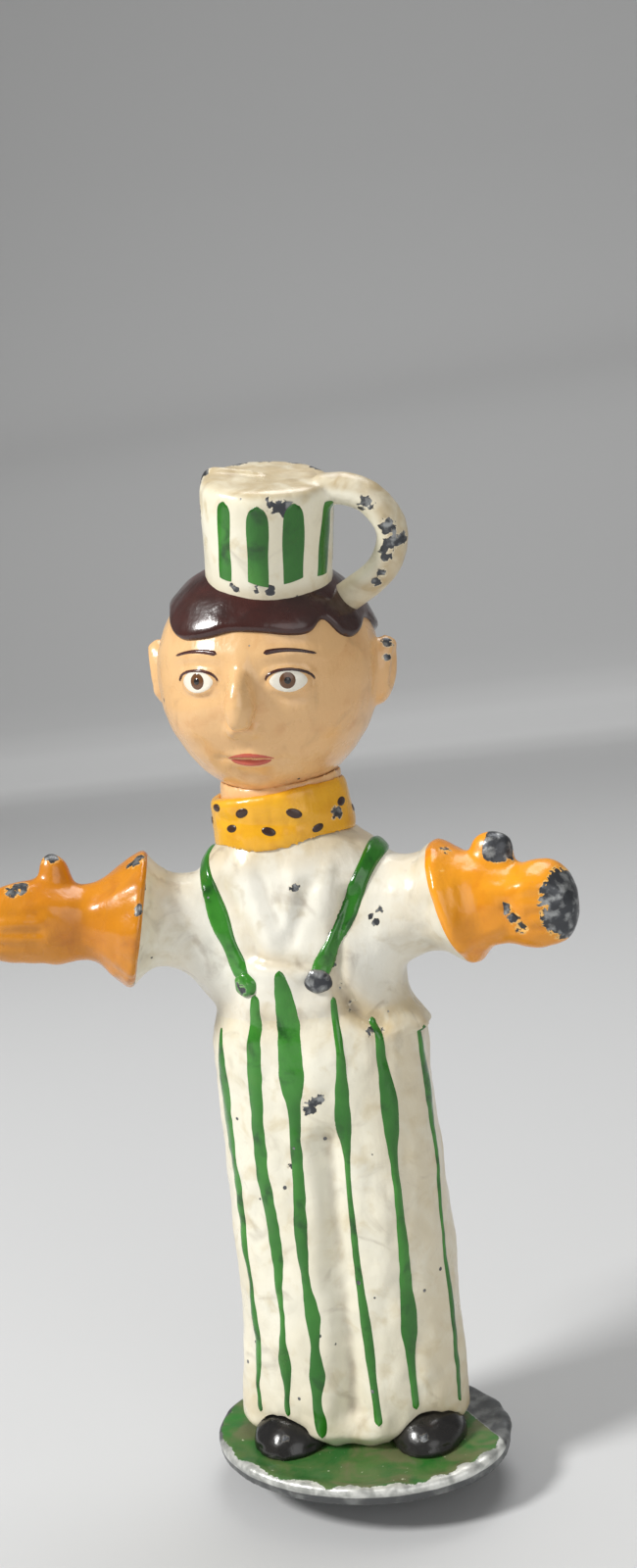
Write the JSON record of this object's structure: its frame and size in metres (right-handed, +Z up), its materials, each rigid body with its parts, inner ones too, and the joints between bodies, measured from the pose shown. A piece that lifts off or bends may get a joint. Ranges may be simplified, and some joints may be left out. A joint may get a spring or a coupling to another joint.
{
  "type": "cast toy figure",
  "caption": "Painted cast-metal standing figure on a thin oval base, arms held out, in striped dungarees, gauntlets and a striped hat with a loop handle.",
  "frame": {"origin": "centre of the base's flat underside", "axes": "+Z up, the figure faces -Y, +X is the figure's own left, the side of the hat's handle"},
  "size_m": [0.0339, 0.0141, 0.0575],
  "materials": {
    "cream_enamel": "gloss, worn, grime in the recesses",
    "green_enamel": "gloss, hand brushed",
    "base_green_enamel": "satin, worn to bare metal at the rim",
    "orange_enamel": "gloss, chipped at fingertips and thumbs",
    "scarf_enamel": "gloss with dark brown spots",
    "flesh_enamel": "satin gloss",
    "hair_enamel": "gloss, brushed",
    "black_enamel": "high gloss",
    "bare_alloy": "dull grey bare cast alloy"
  },
  "bodies": {
    "root": {"base_plate": "base_green_enamel", "right_shoe": "black_enamel", "left_shoe": "black_enamel", "trousers": "cream_enamel", "bib": "cream_enamel", "shirt_body": "cream_enamel", "right_sleeve": "cream_enamel", "left_sleeve": "cream_enamel", "right_cuff": "orange_enamel", "left_cuff": "orange_enamel", "right_glove": "orange_enamel", "left_glove": "orange_enamel", "right_thumb": "orange_enamel", "left_thumb": "orange_enamel", "right_strap": "green_enamel", "left_strap": "green_enamel", "right_button": "green_enamel", "left_button": "bare_alloy", "neck": "flesh_enamel", "neckerchief": "scarf_enamel", "head": "flesh_enamel", "right_ear": "flesh_enamel", "left_ear": "flesh_enamel", "nose": "flesh_enamel", "hair": "hair_enamel", "hat_body": "cream_enamel", "hat_handle": "cream_enamel"}
  },
  "joints": []
}
